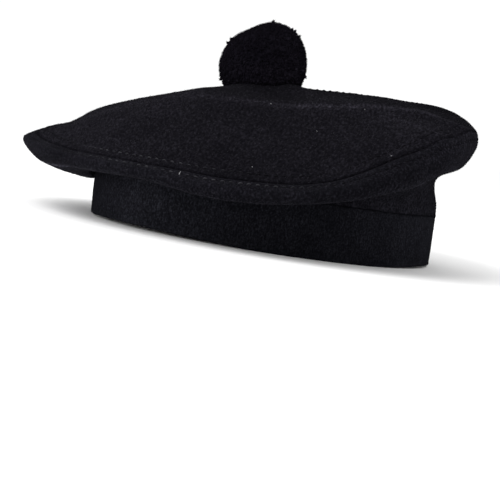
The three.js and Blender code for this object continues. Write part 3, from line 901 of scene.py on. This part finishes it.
# Directions of the crown's two tips, of the underside at the left tip and of the side toward the camera
LEFT_TIP, RIGHT_TIP, UNDER_TIP, FACING = -15, 100, 315, 47
ROWS_FROM_MIDDLE = 10  # the pompom covers the crown's first rows


def crown_painted_light():
    """The light and shade painted into the crown's cloth at each place, and where shade is painted beyond the
    ridge.
    """
    turned, x, y = np.array(directions)[:, None], smooth_face[..., 0], smooth_face[..., 1]
    on_top = from_seam < 0
    on_left, on_right = dip(turned_from(turned, LEFT_TIP), 21), dip(turned - RIGHT_TIP, 17)
    edge = np.array([s.low for s in sections])[:, None] + 3.0 + 5.0 * on_left + 2.0 * on_right
    from_edge = lengths - edge
    # Painted highlight along the rolled lower edge, stronger on the side toward the camera and most of all at
    # the two tips
    in_front = np.cos(np.radians(turned - FACING))
    painted_light_and_pale = (0.5 + 0.35 * in_front) * dip(from_edge, 2.4) + 11 * on_left * dip(from_edge, 3.0)
    painted_light_and_pale += 2.4 * on_right * dip(from_edge + 1.5, 4.5)
    painted_light_and_pale *= 1.0 + 0.7 * round_noise(directions, lengths, 120, 6, 61.0)
    # Painted highlights along the ridges of the top, and painted shade beyond the ridge
    painted_light_and_pale += fold_height(x, y, RIDGE_HIGHLIGHTS) * on_top
    shaded = beyond_line(x, y, SHADE_LINE, FACING, 3.0) * on_top
    painted_light_and_pale -= 0.4 * shaded
    # Painted light on the shaded underside at the left tip and in the dark crease over the headband
    under_tip = dip(turned_from(turned, UNDER_TIP), 38) * np.clip((from_edge - 2) / 4, 0, 1)
    painted_light_and_pale += 6 * under_tip
    painted_light_and_pale += 0.5 * dip(end_lengths - lengths, 5.0) * (turned < 150)
    # Painted light on the top at both tips and on the side at the right, and painted shade in the seam's
    # groove
    painted_light_and_pale += 0.35 * (dip(turned_from(turned, LEFT_TIP), 30) + dip(turned - RIGHT_TIP, 25)) * on_top
    painted_light_and_pale += 0.7 * dip(turned - 115, 20) * (from_seam > 0)
    painted_light_and_pale -= 0.5 * dip(from_seam, 1.0) * seam_shown[:, None]
    return painted_light_and_pale, shaded


def band_painted_light(rows):
    """The light painted into the headband at each of its places: a pool of light at its left front, more at
    the right, and a little everywhere.
    """
    turned = np.degrees(np.arctan2(rows[..., 0], -rows[..., 1])) % 360
    return 0.08 + 0.45 * dip(turned_from(turned, 12), 20) + 0.35 * dip(turned - 110, 25)


def pompom_painted_light(verts):
    """The light painted into the yarns at each place, where the lamps leave them in shade: below, and toward
    the right as the camera sees it.
    """
    from_middle = (np.array([tuple(v) for v in verts]) - np.array(POM_MIDDLE)) / POM_RADIUS
    to_right = from_middle @ np.array([0.68, 0.73, 0])
    below = np.clip(0.2 - from_middle[:, 2], 0, 1)
    return below * (3.0 + 3.0 * to_right) + 2.6 * np.clip(to_right, 0, 1)


def crown_cloth(name, rows, poled, outer_painted_light, paint, node_name):
    """One cloth of the crown, from its rows, with light and shade painted into its outer face and none into
    its inner face.
    """
    verts, faces = shell_mesh(face[:, rows], every(inside[:, rows], INNER_STEP), poled)
    cloth = make_piece(name, verts, faces, paint, [node_name])
    marks = np.zeros(len(verts))
    marks[: len(outer_painted_light)] = outer_painted_light
    set_painted_light_and_pale(cloth, marks)


# The crown's top and side, with their painted light and shade. All rows of the top share their first place,
# so it has one mark
painted_light_and_pale, shaded = crown_painted_light()
top_painted_light = np.concatenate([painted_light_and_pale[:1, 0], painted_light_and_pale[:, 1:SEAM_ROW].ravel()])
side_painted_light = painted_light_and_pale[:, SEAM_ROW:].ravel()
crown_cloth("crown_top_cloth", slice(SEAM_ROW), True, top_painted_light, crown_felt, "crown_top")
crown_cloth("crown_side_cloth", slice(SEAM_ROW, None), False, side_painted_light, side_felt, "crown_side")

# The headband
band_rows = band_places()
faces = ring_faces(*band_rows.shape[:2])
headband = make_piece("headband_cloth", band_rows.reshape(-1, 3), faces, band_felt, ["headband"])
set_painted_light_and_pale(headband, band_painted_light(band_rows).ravel())

# The pompom and the topstitching, which share one run of random draws
draws = random.Random(5)
yarns, ends = pompom_clumps(draws)
pompom = make_piece("pompom_yarns", yarns.verts, yarns.faces, pom_yarn, ["pompom"])
set_painted_light_and_pale(pompom, pompom_painted_light(yarns.verts))
make_piece("pompom_fibres", ends.verts, ends.faces, pom_fibre)
for row_name, (distance, pale_from, pale_to) in STITCH_ROWS.items():
    row, pale = stitch_row(distance, pale_from, pale_to, draws)
    stitches = make_piece("stitches_" + row_name, row.verts, row.faces, thread)
    set_painted_light_and_pale(stitches, pale)

# Lint
lint = lint_clump()
make_piece("lint", lint.verts, lint.faces, lint_fibre)

# Where loose fibres lie: rows of the crown, with their slot, and points of the headband's section
CROWN_AREAS = {
    "top": (slice(ROWS_FROM_MIDDLE, SEAM_ROW), "crown_felt"),
    "side": (slice(SEAM_ROW + 1, None), "side_felt"),
    "crease": (slice(-4, None), "side_felt"),
    "seam": (slice(SEAM_ROW - 4, SEAM_ROW), "crown_felt"),
}
BAND_AREAS = {"lip": slice(30, 36), "wall": slice(3, 36)}

# How dense they are along the cloth: fewer nap fibres where shade is painted beyond the ridge, and more pale
# flecks where light is painted
standing = np.array([float(s.points[BAG, 1] > BAND_HEIGHT + 2) for s in sections])[:, None]
paler = np.clip(1 + 1.5 * painted_light_and_pale, 0.2, 3)
NAP_WEIGHTS = {
    "even": 1.0,
    "lit": 1 - 0.75 * shaded[:, ROWS_FROM_MIDDLE:SEAM_ROW],
    "painted_light_top": paler[:, ROWS_FROM_MIDDLE:SEAM_ROW],
    "painted_light_side": paler[:, SEAM_ROW + 1 :],
    "standing": standing,
    "seam": 1.5 - seam_shown[:, None],
}
BACKWARD, DOWN = (0.45, 0.5, 0), (0, 0, -0.3)  # which way most of them are combed
NAPS = [
    # name, paint, area, count, seed, comb, least and most rise, shortest and longest, thickness, weight
    ["crown_top_nap", nap_fibre, "top", 30000, 1, BACKWARD, 0.05, 0.5, 0.5, 1.4, 0.07, "lit"],
    ["crown_top_flecks", pale_fibre, "top", 8000, 2, BACKWARD, 0.1, 0.8, 0.5, 1.3, 0.08, "painted_light_top"],
    ["crown_top_specks", dark_fibre, "top", 6000, 6, BACKWARD, 0.1, 0.8, 0.5, 1.3, 0.1, "even"],
    ["crown_side_nap", nap_fibre, "side", 26000, 3, DOWN, 0.05, 0.5, 0.5, 1.4, 0.07, "even"],
    ["crown_side_flecks", pale_fibre, "side", 6000, 4, DOWN, 0.1, 0.6, 0.5, 1.3, 0.08, "painted_light_side"],
    # The crease's fibres take the headband's paler fibre colour, as painted light over the shade of the
    # crease
    ["crease_nap", band_fibre, "crease", 3500, 7, (0, 0, -2.5), 0.05, 0.35, 0.7, 1.6, 0.07, "standing"],
    ["band_lip_nap", band_fibre, "lip", 3000, 9, (0, 0, 2.5), 0.05, 0.3, 0.7, 1.3, 0.07, "standing"],
    ["seam_nap", nap_fibre, "seam", 5000, 8, (0.5, -0.7, -0.6), 0.02, 0.2, 0.6, 1.2, 0.07, "seam"],
    ["headband_nap", band_fibre, "wall", 12000, 5, (0, 0, -0.6), 0.05, 0.4, 0.4, 1.1, 0.06, "even"],
]


def nap_area(area):
    """Rows of cloth that carry loose fibres, with their directions outward and their slot."""
    if area in BAND_AREAS:
        rows = band_rows[:, BAND_AREAS[area]]
        return rows, face_normals_of(rows), "band_felt"
    rows, slot = CROWN_AREAS[area]
    return face[:, rows], normals[:, rows], slot


for name, paint, area, count, seed, comb, rise, most_rise, short, long, thick, weight in NAPS:
    rows, outs, slot = nap_area(area)
    weights = NAP_WEIGHTS[weight]
    verts, faces = fuzz(rows, outs, count, seed, comb, (rise, most_rise), (short, long), thick, weights)
    make_piece(name, verts, faces, paint)

# A pale floor that runs off on all sides, soft light from all round and a large lamp in front and above
floor_mesh = bpy.data.meshes.new("floor")
FLOOR = 6.0
corners = [(x * FLOOR, y * FLOOR, 0) for x, y in ((-1, -1), (1, -1), (1, 1), (-1, 1))]
floor_mesh.from_pydata(corners, [], [[0, 1, 2, 3]])
floor = bpy.data.objects.new("floor", floor_mesh)
bpy.context.scene.collection.objects.link(floor)
floor_paint = bpy.data.materials.new("floor_paint")
floor_paint.use_nodes = True
floor_shader = floor_paint.node_tree.nodes["Principled BSDF"]
floor_shader.inputs["Base Color"].default_value = (0.96, 0.96, 0.96, 1)
floor_shader.inputs["Roughness"].default_value = 1.0
floor_shader.inputs["Specular IOR Level"].default_value = 0.0
floor_mesh.materials.append(floor_paint)

world = bpy.data.worlds.new("studio")
bpy.context.scene.world = world
world.use_nodes = True
sky = world.node_tree.nodes["Background"]
sky.inputs["Color"].default_value = (1, 1, 1, 1)
sky.inputs["Strength"].default_value = 1.05


def lamp(name, place, target, size, power):
    """A large soft lamp aimed at a target."""
    data = bpy.data.lights.new(name, "AREA")
    data.shape, data.size, data.energy = "DISK", size, power
    made = bpy.data.objects.new(name, data)
    bpy.context.scene.collection.objects.link(made)
    made.location = place
    made.visible_camera = False
    made.rotation_mode = "QUATERNION"
    made.rotation_quaternion = (Vector(target) - Vector(place)).to_track_quat("-Z", "Y")


lamp("key", (0.25, -1.15, 1.0), (0, 0, 0.04), 0.9, 17)
lamp("fill", (-0.45, -1.15, 0.12), (0, 0, 0.04), 0.5, 8)

# The camera looks at the hat from between its brow and its left ear, a little above, and leans to one side
AZIMUTH, ELEVATION, FAR = 47.0, 4.149, 0.9  # where it stands, in degrees and metres
LOOK_AZIMUTH, LOOK_ELEVATION, ROLL = 47.422, 4.673, 9.863  # which way it looks
FOCAL_PIXELS, SENSOR, PICTURE = 1645.6, 36.0, 500
AIM = SHIFT * MM + np.array([0.0005, 0.0005, 0.0012])


def away(azimuth, elevation):
    """The direction from the hat toward a camera there."""
    a, e = math.radians(azimuth), math.radians(elevation)
    return Vector((math.sin(a) * math.cos(e), -math.cos(a) * math.cos(e), math.sin(e)))


back = away(LOOK_AZIMUTH, LOOK_ELEVATION)
level = Vector((math.cos(math.radians(LOOK_AZIMUTH)), math.sin(math.radians(LOOK_AZIMUTH)), 0))
upward = back.cross(level)
roll = math.radians(ROLL)
right = level * math.cos(roll) + upward * math.sin(roll)
up = upward * math.cos(roll) - level * math.sin(roll)
camera_data = bpy.data.cameras.new("camera")
camera_data.sensor_fit = "HORIZONTAL"
camera_data.sensor_width = SENSOR
camera_data.lens = SENSOR * FOCAL_PIXELS / PICTURE
camera = bpy.data.objects.new("camera", camera_data)
bpy.context.scene.collection.objects.link(camera)
place = away(AZIMUTH, ELEVATION) * FAR + Vector(AIM)
pose = Matrix((right, up, back)).transposed().to_4x4()
pose.translation = place
camera.matrix_world = pose
bpy.context.scene.camera = camera
bpy.context.scene.view_settings.view_transform = "Standard"
